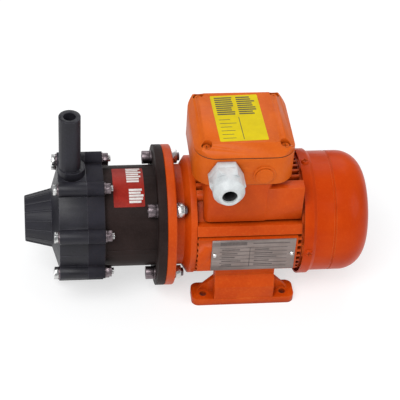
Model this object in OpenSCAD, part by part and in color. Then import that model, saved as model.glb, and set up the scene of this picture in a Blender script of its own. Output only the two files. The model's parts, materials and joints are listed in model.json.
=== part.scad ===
// Magnetic drive pump on a foot-and-flange motor, millimetres.
// The suction end points along -X, the feet stand on z = 0.

/* [Motor] */
// Height of the shaft axis above the feet
shaft_h = 71; // [71:1:80]
// Outer diameter of the motor flange
flange_d = 140; // [140:1:141]
// Flange face to the first foot hole
foot_c = 40; // [38:1:42]
// Distance between foot holes along the shaft
foot_b = 80; // [78:1:82]
// Distance between foot holes across the shaft
foot_a = 100; // [99:1:101]
// Diameter of the foot holes
foot_hole_d = 7; // [6:0.5:8]
// Thickness of each cooling fin
fin_t = 2.4; // [2:0.2:3]

/* [Pump head] */
// Radius of the casing bolt circle
casing_bolt_r = 59.5; // [59.5:0.1:60]
// Number of casing bolts
casing_bolts_n = 8; // [8]
// Height of the discharge mouth above the shaft axis
discharge_top = 125; // [115:1:140]
// Outer diameter of the discharge thread
discharge_d = 20.96; // [20.5:0.02:21.2]
// Diameter of the suction thread
suction_d = 30.3; // [30:0.1:30.6]

/* [Terminal box] */
// Height of the box base
box_h = 31; // [29:1:34]
// Bore of the gland seal
gland_bore_d = 11; // [9:0.5:12]

/* [Hidden] */
flange_x = -(foot_c + foot_b / 2);
flange_r = flange_d / 2;
flange_t = 9.3;
hub_end = -135;
head_front = -102.3;
head_joint = -75;
nut_face = -58.5;
casing_r = 57;
boss_r = 7.2;
bracket_r = 50;
bracket_flange_t = 8;
bore_r = 46;
discharge_x = -90.5;
flange_bolt_r = 57.5;
tie_r = 53;
housing_x0 = flange_t + 20.7;
housing_x1 = housing_x0 + 102;
housing_r = 52;
housing_bore_r = 47;
stator_r = housing_bore_r - 0.06;
fin_r = 59.5;
fin_pitch = 7;
band_z0 = 19;
band_h = 9;
cover_x0 = housing_x1 + 2;
cover_x1 = cover_x0 + 68;
cover_r = 60;
cover_t = 1.6;
cover_corner_r = 26;
cover_screw_x = cover_x0 + 5;
box_x0 = 24;
box_x1 = 120;
box_y = 49;
box_z0 = 77.5;
box_z1 = box_z0 + box_h;
box_wall = 4;
box_corner_r = 20;
lid_screw_inset = 11;
lid_h = 10.5;
lid_slope = 10;
lid_z0 = box_z1 + 1;
gland_x = 53;
gland_z = 91.5;
spare_x = 90;
spare_z = 89;
pedestal_x0 = 36;
pedestal_x1 = 100;
pedestal_y = 48;
pedestal_z0 = 30.5;
wire_slot_x = 38;
plate_x0 = 44;
plate_x1 = 126;
plate_z0 = -22;
plate_z1 = 17;
pad_y = 59.6;
foot_x0 = foot_c - 11.5;
foot_x1 = foot_c + foot_b + 11.5;
foot_y = foot_a / 2 + 9;
foot_t = 8;
foot_block_x0 = foot_c + 10.5;
foot_block_x1 = foot_c + foot_b - 10.5;
foot_top = -37;
foot_screw_y = 47;
tie_angles = [30, 150, 210, 330];
rivet_z = (plate_z0 + plate_z1) / 2;
rivet_places = [[plate_x0 + 3, rivet_z], [plate_x1 - 3, rivet_z]];
foot_screw_places = [for (x = [foot_block_x0 + 10, foot_block_x1 - 10])
    for (y = [-foot_screw_y, foot_screw_y]) [x, y]];

// Moves to the motor flange face on the shaft axis
module on_axis() {
    translate([flange_x, 0, shaft_h]) children();
}

// Revolves radius and length pairs about the shaft axis
module turned(points) {
    rotate([0, 90, 0]) rotate_extrude($fn = 96) polygon(points);
}

// Round bar along the shaft direction
module bar(r, x0, x1) {
    translate([x0, 0, 0]) rotate([0, 90, 0]) cylinder(r = r, h = x1 - x0, $fn = 64);
}

// Hexagon bar along the shaft direction, two flats facing the shaft
module hex_bar(af, x0, x1) {
    translate([x0, 0, 0]) rotate([0, 90, 0]) rotate([0, 0, 30])
        cylinder(r = af / sqrt(3), h = x1 - x0, $fn = 6);
}

// Places a child at a clock angle from the top, positive towards the near side
module clock(angle, radius) {
    rotate([angle, 0, 0]) translate([0, 0, radius]) children();
}

// Repeats a child round the casing bolt circle
module casing_ring() {
    for (i = [0 : casing_bolts_n - 1])
        clock(180 / casing_bolts_n + i * 360 / casing_bolts_n, casing_bolt_r) children();
}

// Round plate with the casing bolt bosses
module boss_plate(x0, x1) {
    translate([x0, 0, 0]) rotate([0, 90, 0]) linear_extrude(height = x1 - x0) {
        circle(r = casing_r, $fn = 96);
        for (i = [0 : casing_bolts_n - 1])
            rotate([0, 0, 180 / casing_bolts_n + i * 360 / casing_bolts_n])
                translate([casing_bolt_r, 0]) circle(r = boss_r, $fn = 48);
    }
}

// Repeats a child round the motor flange bolt circle
module flange_ring() {
    for (i = [0 : 3])
        clock(45 + 90 * i, flange_bolt_r) children();
}

// Cross recess of a screw head, from z upwards
module cross_slot(z) {
    translate([-2.6, -0.5, z]) cube([5.2, 1, 3]);
    translate([-0.5, -2.6, z]) cube([1, 5.2, 3]);
}

// Upright plate with round corners
module rounded_plate(x0, x1, y, z0, z1, r) {
    translate([0, 0, z0]) linear_extrude(height = z1 - z0) {
        translate([x0 + r, -y]) square([x1 - x0 - 2 * r, 2 * y]);
        translate([x0, -y + r]) square([x1 - x0, 2 * y - 2 * r]);
        for (cx = [x0 + r, x1 - r])
            for (cy = [-y + r, y - r])
                translate([cx, cy]) circle(r = r, $fn = 48);
    }
}

// Repeats a child at the four lid screws
module lid_corners() {
    for (x = [box_x0 + lid_screw_inset, box_x1 - lid_screw_inset])
        for (y = [-box_y + lid_screw_inset, box_y - lid_screw_inset])
            translate([x, y, 0]) children();
}

module front_casing() {
    color("#2c2c30") on_axis() difference() {
        union() {
            turned([[0, hub_end], [21.9, hub_end], [28.5, -109], [50, head_front], [50, -90], [0, -90]]);
            boss_plate(head_front, head_joint);
            translate([discharge_x, 0, 50]) cylinder(r = discharge_d / 2, h = discharge_top - 50, $fn = 64);
            translate([discharge_x + 1.9, 0, 50]) cylinder(r = 12.8, h = 15, $fn = 64);
        }
        turned([[0, hub_end - 1], [suction_d / 2, hub_end - 1], [suction_d / 2, hub_end + 20],
            [14.5, hub_end + 20],
            [14.5, -97], [bore_r, -97], [bore_r, head_joint + 1], [0, head_joint + 1]]);
        turned([[47.5, head_joint - 2.8], [50.5, head_joint - 2.8], [50.5, head_joint + 1],
            [47.5, head_joint + 1]]);
        casing_ring() bar(3.3, head_front - 1, head_joint + 1);
        translate([discharge_x, 0, 30]) cylinder(r = 6, h = discharge_top, $fn = 48);
    }
}

module suction_spider() {
    color("#3a3a3e") on_axis() difference() {
        union() {
            turned([[12.3, -114], [14.5, -114], [14.5, -104], [12.3, -104]]);
            turned([[6, -115], [8.4, -113.5], [8.4, -98.5], [6, -98.5]]);
            for (i = [0 : 2])
                clock(120 * i, 10.5) translate([-112, -1.5, -3]) cube([7, 3, 6]);
        }
        bar(6, -116, -98);
    }
}

module front_thrust_ring() {
    color("#e6e2d6") on_axis() turned([[6.1, -98.5], [9.5, -98.5], [9.5, -95.5], [6.1, -95.5]]);
}

module pump_shaft() {
    color("#e9e6dc") on_axis() turned([[0, -114], [5.4, -114], [6, -113.4], [6, -31], [5.4, -30.4],
        [0, -30.4]]);
}

module impeller() {
    color("#34343a") on_axis() {
        turned([[10, -93.5], [13, -91], [15, -84], [38, -82], [38, -79.5], [15, -79.5], [15, -76],
            [10, -76]]);
        turned([[15.5, -96], [17.5, -96], [18.5, -93], [38, -91.5], [38, -89.5], [17.5, -91]]);
        for (i = [0 : 5])
            rotate([60 * i, 0, 0]) translate([-91, 0, 0]) rotate([0, 90, 0]) linear_extrude(height = 8)
                polygon([[16, -1], [20, 4], [25, 9.5], [29, 15], [31, 20], [32.8, 19], [31, 13.5],
                    [27, 7.6], [22, 2], [18, -2]]);
    }
}

module impeller_bush() {
    color("#26262a") on_axis() turned([[6.05, -95.2], [10, -95.2], [10, -37.5], [6.05, -37.5]]);
}

module magnet_capsule() {
    color("#34343a") on_axis()
        turned([[10, -76], [15, -76], [15, -73.5], [28.5, -73.5], [28.5, -42], [27, -42], [27, -71],
            [16, -71], [16, -42], [10, -42]]);
}

module inner_magnets() {
    color("#6f7276") on_axis() turned([[16, -71], [27, -71], [27, -42], [16, -42]]);
}

module capsule_cap() {
    color("#34343a") on_axis() turned([[10, -42], [28.5, -42], [28.5, -39.5], [27, -38], [10, -38]]);
}

module rear_casing() {
    color("#2f2f34") on_axis()
        turned([[30, head_joint], [51.4, head_joint], [51.4, -70], [33, -70], [33, -28], [0, -28],
            [0, -30.4], [6, -30.4], [6, -35.5], [9.5, -35.5], [9.5, -32], [30, -32]]);
}

module casing_o_ring() {
    color("#1c1c1e") on_axis() rotate([0, 90, 0]) rotate_extrude($fn = 96)
        translate([49, head_joint - 1.4]) circle(r = 1.38, $fn = 32);
}

module bracket() {
    color("#2c2c30") on_axis() difference() {
        union() {
            boss_plate(head_joint, nut_face);
            turned([[40, nut_face - 6], [bracket_r, nut_face - 6], [bracket_r, -bracket_flange_t],
                [flange_r, -bracket_flange_t], [flange_r, 0], [40, 0]]);
        }
        turned([[0, head_joint - 1], [51.5, head_joint - 1], [51.5, -70], [bore_r, -70],
            [bore_r, -3.2], [47.55, -3.2], [47.55, 1], [0, 1]]);
        casing_ring() bar(3.3, head_joint - 1, nut_face + 1);
        flange_ring() bar(4.5, -bracket_flange_t - 1, 1);
    }
}

module casing_bolts() {
    color("#b9bcc0") on_axis() casing_ring() {
        bar(3, head_front - 3, nut_face + 8.5);
        hex_bar(10, head_front - 5.2, head_front - 1.2);
    }
}

module casing_washers() {
    color("#c4c6c8") on_axis() casing_ring() {
        difference() {
            bar(6, head_front - 1.2, head_front);
            bar(3.2, head_front - 2, head_front + 1);
        }
        difference() {
            bar(6, nut_face, nut_face + 1.2);
            bar(3.2, nut_face - 1, nut_face + 2);
        }
    }
}

module casing_nuts() {
    color("#b9bcc0") on_axis() casing_ring() difference() {
        hex_bar(10, nut_face + 1.2, nut_face + 6.2);
        bar(3.05, nut_face, nut_face + 7);
    }
}

module drive_hub() {
    color("#55585c") on_axis() difference() {
        turned([[5.5, -26], [39, -26], [39, -66], [43, -66], [44, -65], [44, -22], [42, -20],
            [14, -20], [14, -4], [5.5, -4]]);
        translate([-27, -2.02, 0]) cube([24, 4.04, 7.3]);
        translate([-11, 0, 3]) cylinder(r = 2.5, h = 14, $fn = 32);
    }
}

module drive_magnets() {
    color("#8a8d91") on_axis() difference() {
        turned([[34.5, -64], [39, -64], [39, -30], [34.5, -30]]);
        for (i = [0 : 3])
            rotate([45 * i, 0, 0]) translate([-65, -0.5, -45]) cube([36, 1, 90]);
    }
}

module hub_grub_screw() {
    color("#4a4c50") on_axis() translate([-11, 0, 7]) difference() {
        cylinder(r = 2.5, h = 6, $fn = 32);
        translate([0, 0, 3.5]) cylinder(r = 1.4, h = 4, $fn = 6);
    }
}

module flange_bolts() {
    color("#a9acb0") on_axis() flange_ring() {
        bar(4, -bracket_flange_t - 1.6, flange_t + 10.7);
        difference() {
            bar(6.5, -bracket_flange_t - 9.6, -bracket_flange_t - 1.6);
            hex_bar(6, -bracket_flange_t - 10, -bracket_flange_t - 5.6);
        }
    }
}

module flange_washers() {
    color("#c4c6c8") on_axis() flange_ring() {
        difference() {
            bar(7, -bracket_flange_t - 1.6, -bracket_flange_t);
            bar(4.2, -bracket_flange_t - 2, -bracket_flange_t + 1);
        }
        difference() {
            bar(7, flange_t, flange_t + 1.6);
            bar(4.2, flange_t - 1, flange_t + 2);
        }
    }
}

module flange_nuts() {
    color("#b9bcc0") on_axis() flange_ring() difference() {
        hex_bar(13, flange_t + 1.6, flange_t + 8.1);
        bar(4.05, flange_t, flange_t + 9);
    }
}

module motor_flange() {
    color("#d65a1e") on_axis() difference() {
        turned([[11, -3], [47.5, -3], [47.5, 0], [flange_r - 1, 0], [flange_r, 1], [flange_r, flange_t - 1],
            [flange_r - 1, flange_t], [50, flange_t], [50, 18.5], [58.5, 24], [58.5, housing_x0],
            [housing_bore_r, housing_x0], [housing_bore_r, 34], [43, 34], [43, 22], [22, 18],
            [16, 18], [16, 8], [11, 8]]);
        flange_ring() bar(4.5, -1, flange_t + 1);
        for (a = tie_angles)
            clock(a, tie_r) bar(2.5, 24.5, housing_x0 + 1);
    }
}

// Cross section of the motor housing with its fins
module housing_section() {
    difference() {
        union() {
            circle(r = housing_r, $fn = 96);
            intersection() {
                circle(r = fin_r, $fn = 96);
                union() {
                    translate([-fin_r, band_z0]) square([2 * fin_r, band_h]);
                    for (k = [-4 : 2])
                        translate([-fin_r, fin_pitch * k - fin_t / 2]) square([2 * fin_r, fin_t]);
                    for (k = [-4 : 4])
                        translate([fin_pitch * k - fin_t / 2, -fin_r]) square([fin_t, 2 * fin_r]);
                }
            }
            for (a = tie_angles)
                translate([-tie_r * sin(a), tie_r * cos(a)]) circle(r = 5.5, $fn = 32);
        }
        circle(r = housing_bore_r, $fn = 96);
    }
}

module motor_housing() {
    color("#d65a1e") on_axis() difference() {
        union() {
            translate([housing_x0, 0, 0]) rotate([90, 0, 90])
                linear_extrude(height = housing_x1 - housing_x0)
                housing_section();
            difference() {
                union() {
                    translate([housing_x0 + 1, -pad_y, plate_z0 - 1])
                        cube([plate_x1 - housing_x0 + 1, 13, plate_z1 - plate_z0 + 1.5]);
                    rounded_plate(pedestal_x0, pedestal_x1, pedestal_y, pedestal_z0, box_z0 - 1, 7);
                    for (side = [-1, 1]) {
                        translate([pedestal_x1 - 10, side * 41.5 - 6, pedestal_z0 + 0.5])
                            cube([housing_x1 - pedestal_x1 + 9, 12, 39]);
                        translate([foot_block_x0, side * 44 - 8, foot_top])
                            cube([foot_block_x1 - foot_block_x0, 16, 31]);
                    }
                }
                bar(housing_r - 2, housing_x0 - 1, housing_x1 + 1);
            }
        }
        translate([wire_slot_x, -15, 40]) cube([7, 30, 40]);
        for (a = tie_angles)
            clock(a, tie_r) bar(2.7, housing_x0 - 1, housing_x1 + 1);
        for (p = foot_screw_places)
            translate([p[0], p[1], foot_top - 1]) cylinder(r = 3, h = 13, $fn = 32);
        for (p = rivet_places)
            translate([p[0], 9 - pad_y, p[1]]) rotate([90, 0, 0]) cylinder(r = 1.25, h = 10, $fn = 24);
    }
}

module fan_end_shield() {
    color("#cf561c") on_axis() difference() {
        union() {
            turned([[43, housing_x1 - 4], [housing_bore_r, housing_x1 - 4], [housing_bore_r, housing_x1],
                [57.5, housing_x1], [57.5, 137], [46, 137], [20, 143], [7, 143], [7, 137], [16, 137],
                [16, 126], [20, 126], [24, 132.5], [43, 132.5]]);
            intersection() {
                for (i = [0 : 3])
                    clock(90 * i, 50) translate([housing_x1 + 1, -7, 0]) cube([10, 14, 14]);
                bar(cover_r + 0.7, housing_x1, housing_x1 + 14);
            }
        }
        for (a = tie_angles)
            clock(a, tie_r) bar(2.7, housing_x1 - 2, 144);
        for (i = [0 : 3])
            clock(90 * i, 50) translate([cover_screw_x, 0, 0]) cylinder(r = 2, h = 14, $fn = 32);
    }
}

module stator_core() {
    color("#77797c") on_axis() turned([[27.4, 46], [stator_r, 46], [stator_r, 106], [27.4, 106]]);
}

module stator_windings() {
    color("#a4602c") on_axis() {
        turned([[30, 37], [33, 34.5], [40, 34.5], [42.5, 37], [42.5, 46], [30, 46]]);
        turned([[30, 106], [42.5, 106], [42.5, 116], [40, 119], [33, 119], [30, 116]]);
    }
}

module rotor_core() {
    color("#7d7f82") on_axis() turned([[8, 46], [27, 46], [27, 106], [8, 106]]);
}

module rotor_rings() {
    color("#b4b7ba") on_axis() {
        turned([[16, 38], [26, 38], [26, 46], [16, 46]]);
        turned([[16, 106], [26, 106], [26, 114], [16, 114]]);
    }
}

module motor_shaft() {
    color("#a7aaad") on_axis() difference() {
        turned([[0, -23], [5, -23], [5.5, -22.5], [5.5, 0], [6, 0.5], [6, 18], [8, 18], [8, 126],
            [6, 126], [6, 138], [5, 138], [5, 172], [4.5, 172.5], [0, 172.5]]);
        translate([-20, -2, 3]) cube([14, 4, 4]);
    }
}

module shaft_key() {
    color("#8e9194") on_axis() translate([-20, -2, 3]) cube([14, 4, 4]);
}

module shaft_seal() {
    color("#1e1e20") on_axis() turned([[6.1, 1], [11, 1], [11, 7.5], [6.1, 7.5]]);
}

module bearing_outer_rings() {
    color("#9a9da1") on_axis() for (x = [8, 126])
        rotate([0, 90, 0]) rotate_extrude($fn = 96) difference() {
            translate([13, x]) square([3, 10]);
            translate([11, x + 5]) circle(r = 3, $fn = 48);
        }
}

module bearing_inner_rings() {
    color("#9a9da1") on_axis() for (x = [8, 126])
        rotate([0, 90, 0]) rotate_extrude($fn = 96) difference() {
            translate([6, x]) square([3, 10]);
            translate([11, x + 5]) circle(r = 3, $fn = 48);
        }
}

module bearing_balls() {
    color("#c8cacc") on_axis() for (x = [13, 131])
        for (i = [0 : 6])
            clock(i * 360 / 7, 11) translate([x, 0, 0]) sphere(r = 2.92, $fn = 32);
}

module wave_spring() {
    color("#8c8f92") on_axis() turned([[13, 136], [15.6, 136], [15.6, 137], [13, 137]]);
}

module tie_rods() {
    color("#a9acb0") on_axis() for (a = tie_angles)
        clock(a, tie_r) {
            bar(2.5, 24.5, 138);
            hex_bar(7, 137, 141);
        }
}

module fan() {
    color("#3c3d40") on_axis() {
        turned([[5, 148], [48, 148], [48, 150.5], [12, 151.5], [11, 171], [5, 171]]);
        for (i = [0 : 7])
            rotate([45 * i, 0, 0]) translate([150, -1.25, 11]) cube([17, 2.5, 37]);
    }
}

// Half section of the fan cover's outside, drawn in by t
module cover_section(t) {
    corner_x = cover_x1 - cover_corner_r;
    corner_y = cover_r - cover_corner_r;
    translate([0, cover_x0]) square([cover_r - t, corner_x - cover_x0]);
    translate([0, cover_x0]) square([corner_y, cover_x1 - cover_x0 - t]);
    translate([corner_y, corner_x]) circle(r = cover_corner_r - t, $fn = 96);
    polygon([[50, cover_x0], [62.6 - t, cover_x0], [62.6 - t, cover_x0 + 9],
        [cover_r - t, cover_x0 + 12.5 - t / 3], [50, cover_x0 + 12.5 - t / 3]]);
}

module fan_cover() {
    color("#d0561c") on_axis() difference() {
        rotate([0, 90, 0]) rotate_extrude($fn = 96) difference() {
            cover_section(0);
            cover_section(cover_t);
            polygon([[cover_r - 0.7, cover_x0 + 29.6], [cover_r + 1, cover_x0 + 29],
                [cover_r + 1, cover_x0 + 32.2], [cover_r - 0.7, cover_x0 + 31.6]]);
        }
        difference() {
            for (r = [9 : 7 : 37])
                turned([[r, cover_x1 - 4], [r + 3.4, cover_x1 - 4], [r + 3.4, cover_x1 + 2],
                    [r, cover_x1 + 2]]);
            for (i = [0 : 2])
                rotate([60 * i, 0, 0]) translate([cover_x1 - 6, -2.5, -50]) cube([10, 5, 100]);
        }
        for (i = [0 : 3])
            clock(90 * i, 50) translate([cover_screw_x, 0, 0]) cylinder(r = 2.2, h = 16, $fn = 32);
    }
}

module cover_screws() {
    color("#c4c6c8") on_axis() for (i = [0 : 3])
        clock(90 * i, 52) translate([cover_screw_x, 0, 0]) {
            cylinder(r = 2, h = 11, $fn = 32);
            difference() {
                translate([0, 0, 10.6]) cylinder(r1 = 4, r2 = 2.8, h = 2.4, $fn = 48);
                cross_slot(11.8);
            }
        }
}

module box_gasket() {
    color("#28282a") on_axis() difference() {
        rounded_plate(pedestal_x0, pedestal_x1, pedestal_y, box_z0 - 1, box_z0, 7);
        translate([wire_slot_x, -15, box_z0 - 2]) cube([7, 30, 3]);
    }
}

module terminal_box() {
    color("#d65a1e") on_axis() difference() {
        union() {
            difference() {
                rounded_plate(box_x0, box_x1, box_y, box_z0, box_z1, box_corner_r);
                rounded_plate(box_x0 + box_wall, box_x1 - box_wall, box_y - box_wall, box_z0 + 3, box_z1 + 1,
                    box_corner_r - box_wall);
            }
            lid_corners() translate([0, 0, box_z0 + 1]) cylinder(r = 5.5, h = box_h - 1, $fn = 48);
            translate([spare_x, -box_y + 1, spare_z]) rotate([90, 0, 0])
                cylinder(r = 10.5, h = 2.2, $fn = 64);
        }
        translate([wire_slot_x, -15, box_z0 - 1]) cube([7, 30, 6]);
        lid_corners() translate([0, 0, box_z1 - 14]) cylinder(r = 2, h = 16, $fn = 32);
        translate([gland_x, -box_y + 6, gland_z]) rotate([90, 0, 0]) cylinder(r = 10, h = 10, $fn = 64);
        translate([spare_x, -box_y + 6, spare_z]) rotate([90, 0, 0]) cylinder(r = 7, h = 10, $fn = 64);
    }
}

module lid_gasket() {
    color("#28282a") on_axis() difference() {
        rounded_plate(box_x0 + 0.5, box_x1 - 0.5, box_y - 0.5, box_z1, lid_z0, box_corner_r - 0.5);
        rounded_plate(box_x0 + 17, box_x1 - 17, box_y - 17, box_z1 - 1, lid_z0 + 1, 3);
        lid_corners() translate([0, 0, box_z1 - 1]) cylinder(r = 2.1, h = 3, $fn = 32);
    }
}

// Cross section of the lid, half as wide as w at the foot
module lid_section(w) {
    polygon([[-w, 0], [w, 0], [w, 1], [w - lid_slope, lid_h], [lid_slope - w, lid_h], [-w, 1]]);
}

module box_lid() {
    half_x = (box_x1 - box_x0) / 2;
    color("#d65a1e") on_axis() difference() {
        intersection() {
            rounded_plate(box_x0, box_x1, box_y, lid_z0, lid_z0 + lid_h, box_corner_r);
            translate([box_x0, 0, lid_z0]) rotate([90, 0, 90]) linear_extrude(height = 2 * half_x)
                lid_section(box_y);
            translate([box_x0 + half_x, box_y, lid_z0]) rotate([90, 0, 0])
                linear_extrude(height = 2 * box_y)
                lid_section(half_x);
        }
        rounded_plate(box_x0 + 17, box_x1 - 17, box_y - 17, lid_z0 - 1, lid_z0 + lid_h - 3, 3);
        lid_corners() {
            translate([0, 0, lid_z0 - 1]) cylinder(r = 2.2, h = 12, $fn = 32);
            translate([0, 0, lid_z0 + 3]) cylinder(r = 5, h = 12, $fn = 48);
        }
    }
}

module lid_screws() {
    color("#b9bcc0") on_axis() lid_corners() {
        translate([0, 0, box_z1 - 13]) cylinder(r = 2, h = 18, $fn = 32);
        difference() {
            translate([0, 0, lid_z0 + 3]) cylinder(r = 3.8, h = 3, $fn = 48);
            cross_slot(lid_z0 + 4.6);
        }
    }
}

module terminal_board() {
    color("#7a3b22") on_axis() difference() {
        translate([52, -17, box_z0 + 3]) cube([46, 34, 9]);
        for (i = [0 : 2])
            for (y = [-9, 9])
                translate([61 + 14 * i, y, box_z0 + 6]) cylinder(r = 2, h = 10, $fn = 32);
    }
}

module terminal_studs() {
    color("#c9a24a") on_axis() for (i = [0 : 2]) {
        for (y = [-9, 9])
            translate([61 + 14 * i, y, box_z0 + 6]) {
                cylinder(r = 2, h = 16, $fn = 32);
                translate([0, 0, 8]) cylinder(r = 4.04, h = 3.2, $fn = 6);
            }
        translate([58 + 14 * i, -13, box_z0 + 12]) cube([6, 26, 1.2]);
    }
}

module gland_body() {
    color("#c8cacb") on_axis() translate([gland_x, -box_y, gland_z]) rotate([90, 0, 0]) difference() {
        union() {
            translate([0, 0, -5]) cylinder(r = 10, h = 8, $fn = 64);
            cylinder(r = 17, h = 8, $fn = 6);
            cylinder(r = 12.4, h = 18, $fn = 64);
        }
        translate([0, 0, -6]) cylinder(r = 7.5, h = 14, $fn = 64);
        translate([0, 0, 7]) cylinder(r = 10, h = 14, $fn = 64);
    }
}

module gland_seal() {
    color("#2a2a2c") on_axis() translate([gland_x, -box_y, gland_z]) rotate([90, 0, 0]) difference() {
        translate([0, 0, 7]) cylinder(r = 10, h = 24, $fn = 64);
        translate([0, 0, 6]) cylinder(r = gland_bore_d / 2, h = 28, $fn = 64);
    }
}

module gland_nut() {
    color("#d4d6d6") on_axis() translate([gland_x, -box_y, gland_z]) rotate([90, 0, 0]) difference() {
        union() {
            translate([0, 0, 8.4]) cylinder(r = 17, h = 11, $fn = 6);
            translate([0, 0, 8.4]) cylinder(r = 15, h = 19, $fn = 64);
            translate([0, 0, 27.4]) cylinder(r1 = 15, r2 = 10, h = 6.6, $fn = 64);
        }
        translate([0, 0, 8]) cylinder(r = 12.5, h = 10.2, $fn = 64);
        translate([0, 0, 17]) cylinder(r = 10.05, h = 14, $fn = 64);
        translate([0, 0, 30]) cylinder(r = 7.2, h = 6, $fn = 64);
    }
}

module entry_plug() {
    color("#c85420") on_axis() translate([spare_x, -box_y, spare_z]) rotate([90, 0, 0]) {
        translate([0, 0, -4]) cylinder(r = 7, h = 5.4, $fn = 64);
        translate([0, 0, 1.2]) cylinder(r = 8.5, h = 1.6, $fn = 64);
    }
}

// One foot, drawn on the far side
module foot() {
    mid_y = (foot_y + 34) / 2;
    difference() {
        union() {
            translate([0, mid_y, 0])
                rounded_plate(foot_x0, foot_x1, foot_y - mid_y, -shaft_h, -shaft_h + foot_t, 7);
            translate([foot_block_x0, 0, 0]) rotate([90, 0, 90])
                linear_extrude(height = foot_block_x1 - foot_block_x0)
                    polygon([[40, -shaft_h], [foot_y - 0.5, -shaft_h], [foot_y - 0.5, foot_top - 11],
                        [foot_y - 7, foot_top], [40, foot_top]]);
            translate([0, 46, -shaft_h + foot_t]) rotate([90, 0, 0]) linear_extrude(height = 6)
                polygon([[foot_x0 + 6, -1], [foot_x1 - 6, -1], [foot_x1 - 6, 0], [foot_block_x1 - 1, 18],
                    [foot_block_x0 + 1, 18], [foot_x0 + 6, 0]]);
        }
        for (x = [foot_c, foot_c + foot_b])
            translate([x, foot_a / 2, -shaft_h - 1]) {
                cylinder(r = foot_hole_d / 2, h = 12, $fn = 48);
                translate([0, 0, foot_t + 1]) cylinder(r = 6.5, h = 20, $fn = 48);
            }
        for (x = [foot_block_x0 + 10, foot_block_x1 - 10])
            translate([x, foot_screw_y, -shaft_h - 1]) {
                cylinder(r = 3.3, h = 40, $fn = 32);
                cylinder(r = 5.6, h = 20, $fn = 48);
            }
    }
}

module near_foot() {
    color("#cf561c") on_axis() mirror([0, 1, 0]) foot();
}

module far_foot() {
    color("#cf561c") on_axis() foot();
}

module foot_screws() {
    color("#a9acb0") on_axis() for (p = foot_screw_places)
        translate([p[0], p[1], -shaft_h + 13]) {
            translate([0, 0, 5]) cylinder(r = 3, h = shaft_h - 44, $fn = 32);
            difference() {
                cylinder(r = 5, h = 6, $fn = 48);
                translate([0, 0, -1]) cylinder(r = 2.9, h = 4, $fn = 6);
            }
        }
}

module nameplate() {
    color("#c9cbcc") on_axis() difference() {
        translate([plate_x0, -pad_y - 0.8, plate_z0]) cube([plate_x1 - plate_x0, 0.8, plate_z1 - plate_z0]);
        for (p = rivet_places)
            translate([p[0], 1 - pad_y, p[1]]) rotate([90, 0, 0]) cylinder(r = 1.3, h = 3, $fn = 24);
    }
}

module nameplate_rivets() {
    color("#b4b7ba") on_axis() for (p = rivet_places)
        translate([p[0], 8 - pad_y, p[1]]) rotate([90, 0, 0]) {
            cylinder(r = 1.25, h = 9, $fn = 24);
            translate([0, 0, 8.8]) cylinder(r1 = 2.2, r2 = 1.4, h = 1.1, $fn = 24);
        }
}

front_casing();
suction_spider();
front_thrust_ring();
pump_shaft();
impeller();
impeller_bush();
magnet_capsule();
inner_magnets();
capsule_cap();
rear_casing();
casing_o_ring();
bracket();
casing_bolts();
casing_washers();
casing_nuts();
drive_hub();
drive_magnets();
hub_grub_screw();
flange_bolts();
flange_washers();
flange_nuts();
motor_flange();
motor_housing();
fan_end_shield();
stator_core();
stator_windings();
rotor_core();
rotor_rings();
motor_shaft();
shaft_key();
shaft_seal();
bearing_outer_rings();
bearing_inner_rings();
bearing_balls();
wave_spring();
tie_rods();
fan();
fan_cover();
cover_screws();
box_gasket();
terminal_box();
lid_gasket();
box_lid();
lid_screws();
terminal_board();
terminal_studs();
gland_body();
gland_seal();
gland_nut();
entry_plug();
near_foot();
far_foot();
foot_screws();
nameplate();
nameplate_rivets();
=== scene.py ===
import bpy
import bmesh
import json
import math
from mathutils import Matrix, Vector


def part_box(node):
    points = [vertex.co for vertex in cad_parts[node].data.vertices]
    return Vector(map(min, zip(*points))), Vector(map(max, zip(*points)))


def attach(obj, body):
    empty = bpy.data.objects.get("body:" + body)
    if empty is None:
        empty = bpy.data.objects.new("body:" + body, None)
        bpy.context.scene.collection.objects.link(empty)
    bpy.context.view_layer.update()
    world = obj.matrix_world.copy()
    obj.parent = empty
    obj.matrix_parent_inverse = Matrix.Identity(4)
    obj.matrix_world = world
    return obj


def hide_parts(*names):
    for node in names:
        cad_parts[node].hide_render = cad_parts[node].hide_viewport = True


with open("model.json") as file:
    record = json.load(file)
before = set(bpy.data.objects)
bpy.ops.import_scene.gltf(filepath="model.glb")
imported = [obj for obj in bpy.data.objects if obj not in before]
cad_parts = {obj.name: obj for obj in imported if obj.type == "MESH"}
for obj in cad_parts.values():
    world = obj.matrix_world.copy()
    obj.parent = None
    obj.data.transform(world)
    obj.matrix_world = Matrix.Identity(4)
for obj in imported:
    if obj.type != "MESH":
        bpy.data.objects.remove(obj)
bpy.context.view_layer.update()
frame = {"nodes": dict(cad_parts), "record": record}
scene = bpy.context.scene
scene.view_settings.view_transform = "Standard"
nodes = frame["nodes"]
bodyOf = {}
for bodyName, members in frame["record"]["behaviour"]["bodies"].items():
    for member in members:
        bodyOf[member] = bodyName
slotOf = {part["node"]: part["material_slot"] for part in frame["record"]["subparts"]}
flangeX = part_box("bracket")[1][0]
shaftZ = frame["record"]["behaviour"]["joints"][0]["pos_m"][2]


def onAxis(x, y, z):
    # millimetres from the motor flange on the shaft's axis, to metres in the shared frame
    return Vector((flangeX + x / 1000, y / 1000, shaftZ + z / 1000))


def colour(hexText):
    # sRGB hex to the linear values that a shader reads
    steps = [int(hexText[i:i + 2], 16) / 255 for i in (1, 3, 5)]
    return [s / 12.92 if s <= 0.04045 else ((s + 0.055) / 1.055) ** 2.4 for s in steps] + [1.0]


def addNode(tree, kind, inputs=None, **settings):
    node = tree.nodes.new(kind)
    for name, value in settings.items():
        setattr(node, name, value)
    for name, value in (inputs or {}).items():
        if isinstance(value, bpy.types.NodeSocket):
            tree.links.new(value, node.inputs[name])
        else:
            node.inputs[name].default_value = value
    return node


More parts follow.
